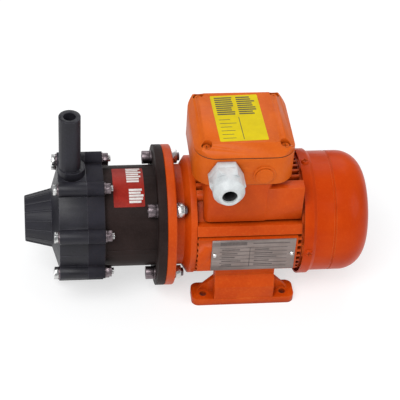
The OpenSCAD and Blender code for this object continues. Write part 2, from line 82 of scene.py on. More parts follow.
def makeFinish(name, look):
    # sizes and depths in a look are millimetres
    finish = bpy.data.materials.new(name)
    finish.use_nodes = True
    tree = finish.node_tree
    shader = tree.nodes["Principled BSDF"]
    for socket, value in look.get("surface", {}).items():
        shader.inputs[socket].default_value = value
    place = addNode(tree, "ShaderNodeTexCoord").outputs["Object"]
    blotch = addNode(tree, "ShaderNodeTexNoise", {
        "Vector": place, "Scale": 1000 / look["blotch"], "Detail": 4.0, "Roughness": 0.6})
    tint = addNode(tree, "ShaderNodeMapRange", {
        "Value": blotch.outputs[0], "From Min": 0.3, "From Max": 0.7})
    skin = addNode(tree, "ShaderNodeMix", {
        0: tint.outputs[0], 6: colour(look["dark"]), 7: colour(look["light"])}, data_type="RGBA").outputs[2]
    grainPlace = addNode(tree, "ShaderNodeMapping", {
        "Vector": place, "Scale": [1000 / size for size in look["grain"]]})
    grain = addNode(tree, "ShaderNodeTexNoise", {
        "Vector": grainPlace.outputs[0], "Scale": 1.0, "Detail": 3.0, "Roughness": 0.55})
    if "beyond" in look:
        along = addNode(tree, "ShaderNodeSeparateXYZ", {"Vector": place})
        past = addNode(tree, "ShaderNodeMapRange", {
            "Value": along.outputs["X"], "From Min": onAxis(look["beyond"] - 1, 0, 0).x,
            "From Max": onAxis(look["beyond"] + 1, 0, 0).x})
        other = addNode(tree, "ShaderNodeMix", {
            0: tint.outputs[0], 6: colour(look["beyondDark"]),
            7: colour(look["beyondLight"])}, data_type="RGBA")
        skin = addNode(tree, "ShaderNodeMix", {
            0: past.outputs[0], 6: skin, 7: other.outputs[2]}, data_type="RGBA").outputs[2]
    if "speck" in look:
        specks = addNode(tree, "ShaderNodeMapRange", {
            "Value": grain.outputs[0], "From Min": 0.5, "From Max": 0.75, "To Max": look["speckShare"]})
        skin = addNode(tree, "ShaderNodeMix", {
            0: specks.outputs[0], 6: skin, 7: colour(look["speck"])}, data_type="RGBA").outputs[2]
    # painted shade: ambient occlusion darkens the colour in crevices and recesses
    if "paintedShade" in look:
        shade = addNode(tree, "ShaderNodeAmbientOcclusion", {
            "Distance": look["paintedShadeReach"] / 1000}, samples=6)
        paintedShadeMask = addNode(tree, "ShaderNodeMapRange", {
            "Value": shade.outputs["AO"], "From Min": 0.75, "From Max": 0.2, "To Max": look["paintedShadeShare"]})
        skin = addNode(tree, "ShaderNodeMix", {
            0: paintedShadeMask.outputs[0], 6: skin, 7: colour(look["paintedShade"])}, data_type="RGBA").outputs[2]
    # edges lightened within the bevel reach: partly paint rubbed through, partly painted highlight
    if "edge" in look:
        rounded = addNode(tree, "ShaderNodeBevel", {"Radius": look["edgeReach"] / 1000}, samples=4)
        facing = addNode(tree, "ShaderNodeNewGeometry")
        agree = addNode(tree, "ShaderNodeVectorMath", {
            0: rounded.outputs[0], 1: facing.outputs["Normal"]}, operation="DOT_PRODUCT")
        rubAndHighlight = addNode(tree, "ShaderNodeMapRange", {
            "Value": agree.outputs["Value"], "From Min": 0.99, "From Max": 0.9, "To Max": look["edgeShare"]})
        rubAndHighlightAmount = addNode(tree, "ShaderNodeMath", {
            0: rubAndHighlight.outputs[0], 1: tint.outputs[0]}, operation="MULTIPLY")
        skin = addNode(tree, "ShaderNodeMix", {
            0: rubAndHighlightAmount.outputs[0], 6: skin, 7: colour(look["edge"])}, data_type="RGBA").outputs[2]
    tree.links.new(skin, shader.inputs["Base Color"])
    low, high = look["roughness"]
    polish = addNode(tree, "ShaderNodeMapRange", {
        "Value": blotch.outputs[0], "From Min": 0.25, "From Max": 0.75, "To Min": low, "To Max": high})
    tree.links.new(polish.outputs[0], shader.inputs["Roughness"])
    swell = addNode(tree, "ShaderNodeTexNoise", {
        "Vector": place, "Scale": 1000 / look["swell"], "Detail": 1.0})
    uneven = addNode(tree, "ShaderNodeBump", {
        "Height": swell.outputs[0], "Strength": 1.0, "Distance": look["swellDepth"] / 1000})
    pitted = addNode(tree, "ShaderNodeBump", {
        "Height": grain.outputs[0], "Strength": 1.0, "Distance": look["grainDepth"] / 1000,
        "Normal": uneven.outputs[0]})
    tree.links.new(pitted.outputs[0], shader.inputs["Normal"])
    return finish


# in each look, the hollow colour is painted shade in the crevices; the edge colour is partly paint rubbed
# through and partly painted highlight
finishes = {
    # air-dried enamel over rough cast aluminium: satin, with orange peel and painted shade in the hollows
    "castEnamel": makeFinish("satin enamel on cast aluminium", {
        "surface": {"IOR": 1.5, "Specular IOR Level": 0.15, "Coat Weight": 0.03, "Coat Roughness": 0.2},
        "dark": "#BE4006", "light": "#D2500C", "blotch": 36,
        "speck": "#DC6A22", "speckShare": 0.3, "grain": (2.4, 2.4, 2.4), "grainDepth": 0.07,
        "paintedShade": "#6E1C02", "paintedShadeReach": 9, "paintedShadeShare": 0.75,
        "edge": "#E88842", "edgeReach": 0.9, "edgeShare": 0.5,
        "roughness": (0.36, 0.5), "swell": 13, "swellDepth": 0.22}),
    # a lighter second coat on the die-cast terminal box: yellower, a little smoother
    "boxEnamel": makeFinish("satin enamel on die-cast box", {
        "surface": {"IOR": 1.5, "Specular IOR Level": 0.15, "Coat Weight": 0.03, "Coat Roughness": 0.2},
        "dark": "#CC560C", "light": "#DC6412", "blotch": 30,
        "speck": "#E47A28", "speckShare": 0.3, "grain": (2.0, 2.0, 2.0), "grainDepth": 0.06,
        "paintedShade": "#742002", "paintedShadeReach": 8, "paintedShadeShare": 0.7,
        "edge": "#EC9448", "edgeReach": 0.9, "edgeShare": 0.45,
        "roughness": (0.36, 0.5), "swell": 15, "swellDepth": 0.2}),
    # enamel on deep-drawn sheet steel: smoother and redder than the castings
    "sheetEnamel": makeFinish("gloss enamel on pressed steel", {
        "surface": {"IOR": 1.5, "Specular IOR Level": 0.07, "Coat Weight": 0.03, "Coat Roughness": 0.16},
        "dark": "#B83604", "light": "#CC4406", "blotch": 48,
        "speck": "#D25A1C", "speckShare": 0.2, "grain": (1.8, 1.8, 1.8), "grainDepth": 0.03,
        "paintedShade": "#6E1E02", "paintedShadeReach": 7, "paintedShadeShare": 0.6,
        "edge": "#E88C48", "edgeReach": 0.8, "edgeShare": 0.45,
        "roughness": (0.28, 0.4), "swell": 40, "swellDepth": 0.3}),
    # glass-filled polypropylene, moulded: blue-black, fine fibre grain, greyer at the edges from rubbing and
    # painted highlight
    "blackPolypropylene": makeFinish("glass-filled polypropylene", {
        "surface": {"IOR": 1.49, "Specular IOR Level": 0.34},
        "dark": "#1A191E", "light": "#26252D", "blotch": 24,
        "speck": "#35343D", "speckShare": 0.4, "grain": (1.3, 1.3, 1.3), "grainDepth": 0.04,
        "paintedShade": "#0B0A0C", "paintedShadeReach": 8, "paintedShadeShare": 0.8,
        "edge": "#66646F", "edgeReach": 0.9, "edgeShare": 0.75,
        "roughness": (0.36, 0.55), "swell": 16, "swellDepth": 0.14}),
    # a second moulding grade for the lantern: duller, and browner beyond the bolted joint
    "lanternPolypropylene": makeFinish("glass-filled polypropylene, lantern grade", {
        "surface": {"IOR": 1.49, "Specular IOR Level": 0.1},
        "dark": "#222127", "light": "#2E2D35", "blotch": 26,
        "beyond": -58.5, "beyondDark": "#231917", "beyondLight": "#312523",
        "speck": "#3A3032", "speckShare": 0.35, "grain": (1.4, 1.4, 1.4), "grainDepth": 0.05,
        "paintedShade": "#0A0706", "paintedShadeReach": 8, "paintedShadeShare": 0.8,
        "edge": "#54494A", "edgeReach": 0.9, "edgeShare": 0.45,
        "roughness": (0.5, 0.64), "swell": 16, "swellDepth": 0.14}),
    # unfilled grade inside the pump: even, waxy, a little softer in shine
    "darkPolypropylene": makeFinish("plain polypropylene", {
        "surface": {"IOR": 1.49},
        "dark": "#2B2B2D", "light": "#38383B", "blotch": 20,
        "speck": "#46464A", "speckShare": 0.25, "grain": (1.5, 1.5, 1.5), "grainDepth": 0.03,
        "roughness": (0.42, 0.55), "swell": 14, "swellDepth": 0.1}),
    # carbon-graphite bush: matt, sooty, with turning rings
    "carbonGraphite": makeFinish("carbon graphite", {
        "surface": {"IOR": 1.7},
        "dark": "#1B1C1E", "light": "#2C2D30", "blotch": 8,
        "speck": "#4A4C50", "speckShare": 0.3, "grain": (0.6, 3, 3), "grainDepth": 0.03,
        "roughness": (0.5, 0.68), "swell": 9, "swellDepth": 0.03}),
    # sintered alumina, ground: off-white and smooth
    "alumina": makeFinish("ground alumina", {
        "surface": {"IOR": 1.76},
        "dark": "#DDD8CC", "light": "#EFEBE2", "blotch": 14,
        "speck": "#CFC6B4", "speckShare": 0.3, "grain": (0.7, 2.5, 2.5), "grainDepth": 0.012,
        "roughness": (0.2, 0.32), "swell": 12, "swellDepth": 0.02}),
    # nickel-plated magnet: dull silver, mottled plating
    "magnetNickel": makeFinish("nickel-plated magnet", {
        "surface": {"Metallic": 1.0},
        "dark": "#77777A", "light": "#97979A", "blotch": 6,
        "speck": "#B4B3B0", "speckShare": 0.4, "grain": (1.4, 1.4, 1.4), "grainDepth": 0.015,
        "roughness": (0.3, 0.46), "swell": 7, "swellDepth": 0.03}),
    # moulded nitrile rubber: dead black, dusty
    "nitrileRubber": makeFinish("moulded nitrile rubber", {
        "surface": {"IOR": 1.52},
        "dark": "#18181A", "light": "#262628", "blotch": 10,
        "speck": "#3A3A3C", "speckShare": 0.35, "grain": (0.9, 0.9, 0.9), "grainDepth": 0.03,
        "roughness": (0.68, 0.86), "swell": 8, "swellDepth": 0.05}),
    # cold-headed stainless: bright, faint rings from forming, painted shade at the root of the head
    "stainlessSteel": makeFinish("cold-headed stainless steel", {
        "surface": {"Metallic": 1.0},
        "dark": "#B4B4B4", "light": "#DCDCDA", "blotch": 5,
        "speck": "#F0EFEC", "speckShare": 0.4, "grain": (0.5, 2.2, 2.2), "grainDepth": 0.012,
        "paintedShade": "#5A564F", "paintedShadeReach": 3, "paintedShadeShare": 0.7,
        "roughness": (0.2, 0.34), "swell": 5, "swellDepth": 0.03}),
    # old nuts and flange screws: dull grey, stained by handling
    "dullSteel": makeFinish("tarnished stainless steel", {
        "surface": {"Metallic": 1.0},
        "dark": "#665A5E", "light": "#8E8286", "blotch": 4,
        "speck": "#B8AEB0", "speckShare": 0.35, "grain": (0.6, 1.8, 1.8), "grainDepth": 0.015,
        "paintedShade": "#3E3937", "paintedShadeReach": 3, "paintedShadeShare": 0.75,
        "roughness": (0.3, 0.46), "swell": 5, "swellDepth": 0.03}),
    # zinc plating, clear passivated: grey with a trace of blue and yellow
    "zincPlate": makeFinish("zinc-plated steel", {
        "surface": {"Metallic": 1.0},
        "dark": "#A5AAB2", "light": "#C9C6B8", "blotch": 4,
        "speck": "#E4E2DA", "speckShare": 0.3, "grain": (0.8, 1.6, 1.6), "grainDepth": 0.012,
        "paintedShade": "#57534B", "paintedShadeReach": 3, "paintedShadeShare": 0.7,
        "roughness": (0.3, 0.46), "swell": 5, "swellDepth": 0.03}),
    # turned and ground steel: bright, with fine rings along the shaft
    "groundSteel": makeFinish("ground steel", {
        "surface": {"Metallic": 1.0},
        "dark": "#A9ABAE", "light": "#CDCFD2", "blotch": 12,
        "speck": "#E6E7E8", "speckShare": 0.35, "grain": (0.4, 6, 6), "grainDepth": 0.01,
        "roughness": (0.16, 0.28), "swell": 12, "swellDepth": 0.02}),
    # stacked electrical sheet: dark grey, laminated along the shaft, drawn at 1 mm to show
    "laminatedSteel": makeFinish("laminated core steel", {
        "surface": {"Metallic": 1.0},
        "dark": "#5C5E62", "light": "#7E8084", "blotch": 9,
        "speck": "#3C3A38", "speckShare": 0.7, "grain": (1.0, 60, 60), "grainDepth": 0.12,
        "roughness": (0.38, 0.56), "swell": 12, "swellDepth": 0.05}),
    # enamelled winding wire: red-brown lacquer over copper, strands round the axis
    "windingCopper": makeFinish("enamelled copper wire", {
        "surface": {"Metallic": 0.7, "Coat Weight": 0.4, "Coat Roughness": 0.2},
        "dark": "#8A4422", "light": "#B8683A", "blotch": 9,
        "speck": "#5E2A14", "speckShare": 0.7, "grain": (0.9, 9, 9), "grainDepth": 0.2,
        "roughness": (0.3, 0.45), "swell": 10, "swellDepth": 0.2}),
    # bare die casting: pale grey, grainy
    "castAluminium": makeFinish("bare cast aluminium", {
        "surface": {"Metallic": 1.0},
        "dark": "#9C9D9E", "light": "#BDBEBE", "blotch": 11,
        "speck": "#D8D8D6", "speckShare": 0.4, "grain": (1.4, 1.4, 1.4), "grainDepth": 0.05,
        "roughness": (0.4, 0.56), "swell": 9, "swellDepth": 0.1}),
    # thin anodised plate, brushed along its length: silky grey
    "brushedPlate": makeFinish("brushed aluminium plate", {
        "surface": {"Metallic": 0.85},
        "dark": "#80746F", "light": "#988C87", "blotch": 18,
        "speck": "#B0A6A1", "speckShare": 0.5, "grain": (22, 4, 0.7), "grainDepth": 0.02,
        "roughness": (0.34, 0.46), "swell": 24, "swellDepth": 0.05}),
    # moulded polyamide gland: light grey, semi-matt, with painted shade in the corners
    "greyPolyamide": makeFinish("light grey polyamide", {
        "surface": {"IOR": 1.53},
        "dark": "#C4C8C9", "light": "#DCE0E0", "blotch": 9,
        "speck": "#EDEFEE", "speckShare": 0.35, "grain": (1.2, 1.2, 1.2), "grainDepth": 0.03,
        "paintedShade": "#77706B", "paintedShadeReach": 4, "paintedShadeShare": 0.6,
        "edge": "#F4F6F5", "edgeReach": 0.7, "edgeShare": 0.5,
        "roughness": (0.36, 0.5), "swell": 7, "swellDepth": 0.05}),
    # pressed phenolic board: red-brown, resinous
    "phenolicBoard": makeFinish("phenolic resin", {
        "surface": {"IOR": 1.6},
        "dark": "#5E2C1A", "light": "#7E4026", "blotch": 6,
        "speck": "#98583A", "speckShare": 0.4, "grain": (1.0, 1.0, 1.0), "grainDepth": 0.03,
        "roughness": (0.3, 0.45), "swell": 10, "swellDepth": 0.05}),
    # turned brass: warm, slightly tarnished
    "turnedBrass": makeFinish("turned brass", {
        "surface": {"Metallic": 1.0},
        "dark": "#A8823A", "light": "#D2AC5C", "blotch": 4,
        "speck": "#E8CC88", "speckShare": 0.35, "grain": (1.2, 1.2, 0.5), "grainDepth": 0.012,
        "roughness": (0.22, 0.38), "swell": 5, "swellDepth": 0.02}),
    # yellow vinyl sticker: even colour, slight sheen, faint bubbles
    "yellowVinyl": makeFinish("yellow vinyl", {
        "surface": {"IOR": 1.5, "Specular IOR Level": 0.08},
        "dark": "#D0B600", "light": "#E0C800", "blotch": 20,
        "speck": "#E6D212", "speckShare": 0.25, "grain": (1.6, 1.6, 1.6), "grainDepth": 0.015,
        "roughness": (0.36, 0.48), "swell": 11, "swellDepth": 0.06}),
    # red vinyl sticker on the bracket: faded a little, glossy
    "redVinyl": makeFinish("red vinyl", {
        "surface": {"IOR": 1.5, "Specular IOR Level": 0.2},
        "dark": "#86180E", "light": "#A62416", "blotch": 18,
        "speck": "#BC4430", "speckShare": 0.25, "grain": (1.6, 1.6, 1.6), "grainDepth": 0.015,
        "roughness": (0.34, 0.46), "swell": 11, "swellDepth": 0.06}),
    # screen-printed ink: flat and slightly patchy
    "whiteInk": makeFinish("white screen ink", {
        "surface": {"IOR": 1.48},
        "dark": "#D8D2CE", "light": "#F0ECE8", "blotch": 5,
        "speck": "#C2B6B0", "speckShare": 0.4, "grain": (1.0, 1.0, 1.0), "grainDepth": 0.01,
        "roughness": (0.5, 0.62), "swell": 9, "swellDepth": 0.02}),
    "darkInk": makeFinish("black screen ink", {
        "surface": {"IOR": 1.48},
        "dark": "#3A3416", "light": "#57501E", "blotch": 5,
        "speck": "#7A701E", "speckShare": 0.5, "grain": (1.0, 1.0, 1.0), "grainDepth": 0.01,
        "roughness": (0.5, 0.62), "swell": 9, "swellDepth": 0.02}),
    "greyInk": makeFinish("grey etched line", {
        "surface": {"IOR": 1.48},
        "dark": "#4E4644", "light": "#665C59", "blotch": 5,
        "speck": "#857B77", "speckShare": 0.4, "grain": (1.0, 1.0, 1.0), "grainDepth": 0.01,
        "roughness": (0.5, 0.62), "swell": 9, "swellDepth": 0.02}),
}
finishOfSlot = {
    "orange_paint": "castEnamel", "black_plastic": "blackPolypropylene", "dark_plastic": "darkPolypropylene",
    "carbon": "carbonGraphite", "ceramic": "alumina", "magnet": "magnetNickel", "rubber": "nitrileRubber",
    "stainless": "stainlessSteel", "zinc_steel": "zincPlate", "machined_steel": "groundSteel",
    "core_steel": "laminatedSteel", "copper": "windingCopper", "cast_aluminium": "castAluminium",
    "plate_aluminium": "brushedPlate", "grey_plastic": "greyPolyamide", "phenolic": "phenolicBoard",
    "brass": "turnedBrass"}
finishOfNode = {node: finishes[finishOfSlot[slot]] for node, slot in slotOf.items()}
for nodeName, finishName in {
        "fan_cover": "sheetEnamel", "cover_screws": "sheetEnamel", "terminal_box": "boxEnamel",
        "box_lid": "boxEnamel", "lid_screws": "boxEnamel", "entry_plug": "boxEnamel",
        "bracket": "lanternPolypropylene", "casing_nuts": "dullSteel", "casing_washers": "dullSteel",
        "flange_bolts": "dullSteel", "flange_washers": "dullSteel"}.items():
    finishOfNode[nodeName] = finishes[finishName]
for nodeName, cadPiece in nodes.items():
    cadPiece.data.materials.clear()
    cadPiece.data.materials.append(finishOfNode[nodeName])
print("finishes made:", len(finishes))


def settle(piece):
    # bakes the modifiers into a plain mesh
    bpy.context.view_layer.update()
    grown = piece.evaluated_get(bpy.context.evaluated_depsgraph_get())
    plain = bpy.data.meshes.new_from_object(grown)
    piece.modifiers.clear()
    piece.data = plain
    return piece


def newPiece(name, mesh):
    piece = bpy.data.objects.new(name, mesh)
    scene.collection.objects.link(piece)
    return piece


# edge radius in millimetres of each moulded, cast or forged piece that is seen
softEdges = {
    "front_casing": 1.1, "bracket": 0.9, "motor_flange": 0.8, "motor_housing": 0.5, "terminal_box": 1.4,
    "box_lid": 2.4, "near_foot": 1.5, "far_foot": 1.5, "fan_cover": 0.4, "fan_end_shield": 0.5,
    "gland_body": 0.8, "gland_nut": 0.9, "entry_plug": 0.5, "casing_bolts": 0.35, "casing_nuts": 0.35,
    "flange_bolts": 0.4, "flange_nuts": 0.4, "cover_screws": 0.2, "lid_screws": 0.25, "nameplate": 0.15}
# distances in metres, angles in degrees
edgeSetup = {"merge": 0.000003, "flat": 0.6, "segments": 3, "sharp": 28}


def softened(nodeName, radius):
    # a copy of a CAD piece with its sharp edges rounded, shown in its place
    mesh = nodes[nodeName].data.copy()
    shape = bmesh.new()
    shape.from_mesh(mesh)
    bmesh.ops.remove_doubles(shape, verts=shape.verts, dist=edgeSetup["merge"])
    bmesh.ops.dissolve_limit(shape, angle_limit=math.radians(edgeSetup["flat"]), verts=shape.verts,
                             edges=shape.edges)
    shape.to_mesh(mesh)
    shape.free()
    piece = newPiece(nodeName + "Soft", mesh)
    rounding = piece.modifiers.new("soft edge", "BEVEL")
    rounding.width = radius / 1000
    rounding.segments = edgeSetup["segments"]
    rounding.limit_method = "ANGLE"
    rounding.angle_limit = math.radians(edgeSetup["sharp"])
    rounding.use_clamp_overlap = True
    rounding.harden_normals = True
    settle(piece)
    for face in piece.data.polygons:
        face.use_smooth = True
    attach(piece, bodyOf[nodeName])
    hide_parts(nodeName)


for nodeName, radius in softEdges.items():
    softened(nodeName, radius)
print("softened pieces:", len(softEdges))


def newTree(name, sockets):
    # a Geometry Nodes tree with named inputs; gives it and its input sockets
    tree = bpy.data.node_groups.new(name, "GeometryNodeTree")
    for socketName, kind in sockets.items():
        plainKind = "Float" if kind in ("Distance", "Angle") else kind
        socket = tree.interface.new_socket(
            name=socketName, in_out="INPUT", socket_type="NodeSocket" + plainKind)
        if plainKind != kind:
            socket.subtype = kind.upper()
    tree.interface.new_socket(name="Geometry", in_out="OUTPUT", socket_type="NodeSocketGeometry")
    return tree, tree.nodes.new("NodeGroupInput").outputs


def closeTree(tree, wires, copies):
    # makes the copies real, moves them into place and gives them their finish
    solid = addNode(tree, "GeometryNodeRealizeInstances", {"Geometry": copies})
    moved = addNode(tree, "GeometryNodeTransform", {
        "Geometry": solid.outputs[0], "Translation": wires["Place"]})
    dressed = addNode(tree, "GeometryNodeSetMaterial", {
        "Geometry": moved.outputs[0], "Material": wires["Finish"]})
    addNode(tree, "NodeGroupOutput", {"Geometry": dressed.outputs[0]})


def ringOfCopies(tree, wires, shape):
    # copies of a shape turned round the shaft's axis
    spots = addNode(tree, "GeometryNodeMeshLine", {"Count": wires["Count"], "Offset": (0, 0, 0)})
    number = addNode(tree, "GeometryNodeInputIndex")
    turn = addNode(tree, "ShaderNodeMath", {
        0: number.outputs[0], 1: wires["Step Angle"], 2: wires["First Angle"]}, operation="MULTIPLY_ADD")
    spin = addNode(tree, "ShaderNodeCombineXYZ", {"X": turn.outputs[0]})
    return addNode(tree, "GeometryNodeInstanceOnPoints", {
        "Points": spots.outputs[0], "Instance": shape, "Rotation": spin.outputs[0]}).outputs[0]


def growPiece(name, tree, values, nodeName, finishName):
    # lengths in millimetres and angles in degrees, set before the first evaluation
    piece = newPiece(name, bpy.data.meshes.new(name))
    growth = piece.modifiers.new("growth", "NODES")
    growth.node_group = tree
    given = dict(values, Finish=finishes[finishName])
    given.setdefault("Place", onAxis(0, 0, 0))
    for item in tree.interface.items_tree:
        if item.in_out == "INPUT":
            value = given[item.name]
            if getattr(item, "subtype", "") == "DISTANCE":
                value = value / 1000
            if getattr(item, "subtype", "") == "ANGLE":
                value = math.radians(value)
            growth[item.identifier] = value
    settle(piece)
    return closed(piece, nodeName, finishName)


def growRuns(tree, runs):
    # keys with a capital are inputs of the tree, the others say where the run sits
    for name, run in runs.items():
        values = {key: value for key, value in run.items() if key[0].isupper()}
        growPiece(name, tree, values, run["node"], run["finish"])


# metres
weldReach = 0.000002


def closed(piece, nodeName, finishName):
    # welds a finished mesh, dresses it and ties it to the body of the node that it sits on
    shape = bmesh.new()
    shape.from_mesh(piece.data)
    bmesh.ops.remove_doubles(shape, verts=shape.verts, dist=weldReach)
    bmesh.ops.recalc_face_normals(shape, faces=shape.faces)
    shape.to_mesh(piece.data)
    shape.free()
    piece.data.materials.clear()
    piece.data.materials.append(finishes[finishName])
    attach(piece, bodyOf[nodeName])
    return piece


# straight rods laid along the shaft on a cone: hub ribs and mould seams
ribTree, ribWires = newTree("ribs on a cone", {
    "Count": "Int", "Step Angle": "Angle", "First Angle": "Angle", "Start X": "Distance", "End X": "Distance",
    "Start Radius": "Distance", "End Radius": "Distance", "Rib Radius": "Distance", "Place": "Vector",
    "Finish": "Material"})
ribStart = addNode(ribTree, "ShaderNodeCombineXYZ", {"X": ribWires["Start X"], "Z": ribWires["Start Radius"]})
ribEnd = addNode(ribTree, "ShaderNodeCombineXYZ", {"X": ribWires["End X"], "Z": ribWires["End Radius"]})
ribLine = addNode(ribTree, "GeometryNodeCurvePrimitiveLine", {
    "Start": ribStart.outputs[0], "End": ribEnd.outputs[0]})
ribProfile = addNode(ribTree, "GeometryNodeCurvePrimitiveCircle", {
    "Resolution": 12, "Radius": ribWires["Rib Radius"]})
rib = addNode(ribTree, "GeometryNodeCurveToMesh", {
    "Curve": ribLine.outputs[0], "Profile Curve": ribProfile.outputs[0], "Fill Caps": True})
closeTree(ribTree, ribWires, ringOfCopies(ribTree, ribWires, rib.outputs[0]))

# a helical tooth, once or round a bolt circle: port and bolt threads
threadTree, threadWires = newTree("helical thread", {
    "Count": "Int", "Step Angle": "Angle", "First Angle": "Angle", "Circle Radius": "Distance",
    "Start X": "Distance", "Length": "Distance", "Turns": "Float", "Thread Radius": "Distance",
    "Tooth": "Distance", "Place": "Vector", "Finish": "Material"})
helix = addNode(threadTree, "GeometryNodeCurveSpiral", {
    "Resolution": 28, "Rotations": threadWires["Turns"], "Start Radius": threadWires["Thread Radius"],
    "End Radius": threadWires["Thread Radius"], "Height": threadWires["Length"]})
tooth = addNode(threadTree, "GeometryNodeCurvePrimitiveCircle", {
    "Resolution": 4, "Radius": threadWires["Tooth"]})
thread = addNode(threadTree, "GeometryNodeCurveToMesh", {
    "Curve": helix.outputs[0], "Profile Curve": tooth.outputs[0], "Fill Caps": True})
threadSpot = addNode(threadTree, "ShaderNodeCombineXYZ", {
    "X": threadWires["Start X"], "Z": threadWires["Circle Radius"]})
laid = addNode(threadTree, "GeometryNodeTransform", {
    "Geometry": thread.outputs[0], "Translation": threadSpot.outputs[0], "Rotation": (0, math.pi / 2, 0)})
closeTree(threadTree, threadWires, ringOfCopies(threadTree, threadWires, laid.outputs[0]))

# rows of printed bars of uneven length, flat on x and y: ruled labels
barTree, barWires = newTree("rows of printed bars", {
    "Rows": "Int", "Row Step": "Distance", "Bar Length": "Distance", "Bar Height": "Distance",
    "Bar Thickness": "Distance", "Shortest": "Float", "Seed": "Int", "Place": "Vector", "Finish": "Material"})
barSize = addNode(barTree, "ShaderNodeCombineXYZ", {
    "X": barWires["Bar Length"], "Y": barWires["Bar Height"], "Z": barWires["Bar Thickness"]})
bar = addNode(barTree, "GeometryNodeMeshCube", {"Size": barSize.outputs[0]})
halfLength = addNode(barTree, "ShaderNodeMath", {0: barWires["Bar Length"], 1: 0.5}, operation="MULTIPLY")
barStart = addNode(barTree, "ShaderNodeCombineXYZ", {"X": halfLength.outputs[0]})
fromLeft = addNode(barTree, "GeometryNodeTransform", {
    "Geometry": bar.outputs[0], "Translation": barStart.outputs[0]})
rowDown = addNode(barTree, "ShaderNodeMath", {0: barWires["Row Step"], 1: -1.0}, operation="MULTIPLY")
rowOffset = addNode(barTree, "ShaderNodeCombineXYZ", {"Y": rowDown.outputs[0]})
rows = addNode(barTree, "GeometryNodeMeshLine", {"Count": barWires["Rows"], "Offset": rowOffset.outputs[0]})
uneven = addNode(barTree, "FunctionNodeRandomValue", {
    2: barWires["Shortest"], 3: 1.0, "Seed": barWires["Seed"]})
stretch = addNode(barTree, "ShaderNodeCombineXYZ", {"X": uneven.outputs[1], "Y": 1.0, "Z": 1.0})
printed = addNode(barTree, "GeometryNodeInstanceOnPoints", {
    "Points": rows.outputs[0], "Instance": fromLeft.outputs[0], "Scale": stretch.outputs[0]})
closeTree(barTree, barWires, printed.outputs[0])

ribRuns = {
    "hubRibs": {
        "Count": 16, "Step Angle": 22.5, "First Angle": 11.25, "Start X": -134.2, "End X": -108.6,
        "Start Radius": 21.3, "End Radius": 27.8, "Rib Radius": 1.5, "node": "front_casing",
        "finish": "blackPolypropylene"},
    "lanternSeams": {
        "Count": 2, "Step Angle": 180.0, "First Angle": 91.5, "Start X": -56.0, "End X": -8.2,
        "Start Radius": 49.9, "End Radius": 49.9, "Rib Radius": 0.55, "node": "bracket",
        "finish": "lanternPolypropylene"},
    "casingSeams": {
        "Count": 2, "Step Angle": 180.0, "First Angle": 90.0, "Start X": -101.5, "End X": -76.0,
        "Start Radius": 56.9, "End Radius": 56.9, "Rib Radius": 0.5, "node": "front_casing",
        "finish": "blackPolypropylene"}}
growRuns(ribTree, ribRuns)

threadRuns = {
    "suctionThread": {
        "Count": 1, "Step Angle": 0.0, "First Angle": 0.0, "Circle Radius": 0.0, "Start X": -133.6,
        "Length": 17.0, "Turns": 7.4, "Thread Radius": 15.1, "Tooth": 0.75, "node": "front_casing",
        "finish": "blackPolypropylene"},
    "casingBoltThreads": {
        "Count": 8, "Step Angle": 45.0, "First Angle": 22.5, "Circle Radius": 59.5, "Start X": -52.2,
        "Length": 2.0, "Turns": 2.0, "Thread Radius": 2.95, "Tooth": 0.32, "node": "casing_bolts",
        "finish": "stainlessSteel"},
    "flangeBoltThreads": {
        "Count": 4, "Step Angle": 90.0, "First Angle": 45.0, "Circle Radius": 57.5, "Start X": 17.6,
        "Length": 2.2, "Turns": 1.8, "Thread Radius": 3.95, "Tooth": 0.4, "node": "flange_bolts",
        "finish": "dullSteel"}}
growRuns(threadTree, threadRuns)
print("ribs and threads grown")

cornerSteps = 4


def stickerMesh(name, label):
    # flat sticker on x and y with round corners, cut across so that it can bend
    sizes = ("width", "length", "corner", "thickness")
    width, length, corner, thickness = (label[size] / 1000 for size in sizes)
    slices = label["slices"]
    shape = bmesh.new()
    outline = []
    for cornerX, cornerY, start in ((1, 1, 0), (-1, 1, 90), (-1, -1, 180), (1, -1, 270)):
        for step in range(cornerSteps + 1):
            angle = math.radians(start + step * 90 / cornerSteps)
            outline.append(shape.verts.new((cornerX * (width / 2 - corner) + corner * math.cos(angle),
                                            cornerY * (length / 2 - corner) + corner * math.sin(angle), 0)))
    shape.faces.new(outline)
    for cut in range(1, slices):
        bmesh.ops.bisect_plane(shape, geom=shape.verts[:] + shape.edges[:] + shape.faces[:],
                               plane_co=(0, length * (cut / slices - 0.5), 0), plane_no=(0, 1, 0))
    shape.normal_update()
    bmesh.ops.solidify(shape, geom=shape.faces[:], thickness=thickness)
    mesh = bpy.data.meshes.new(name)
    shape.to_mesh(mesh)
    shape.free()
    mesh.transform(Matrix.Translation((0, 0, -min(vert.co.z for vert in mesh.vertices))))
    return mesh


def layFlat(piece, label):
    # from the label's own x and y to the top of the lid
    turned = Matrix.Rotation(math.radians(label["turn"]), 4, "Z")
    piece.data.transform(Matrix.Translation(onAxis(*label["place"])) @ turned)


def wrapRound(piece, label):
    # bends a flat piece on the shaft's axis: its x runs along the shaft, its y over the top to the far side
    for vert in piece.data.vertices:
        angle = math.radians(label["clock"]) - vert.co.y * 1000 / label["radius"]
        reach = label["radius"] + vert.co.z * 1000
        vert.co = onAxis(label["x"] + vert.co.x * 1000, -reach * math.sin(angle), reach * math.cos(angle))


def printedBlock(name, block, label, nodeName, inkName):
    # rows of bars on a flat label, raised by the label's thickness
    values = {key: value for key, value in block.items() if key != "from"}
    startX, startY = block["from"]
    values["Bar Thickness"] = label["inkDepth"]
    values["Place"] = Vector((startX / 1000, startY / 1000, label["thickness"] / 1000))
    return growPiece(name, barTree, values, nodeName, inkName)


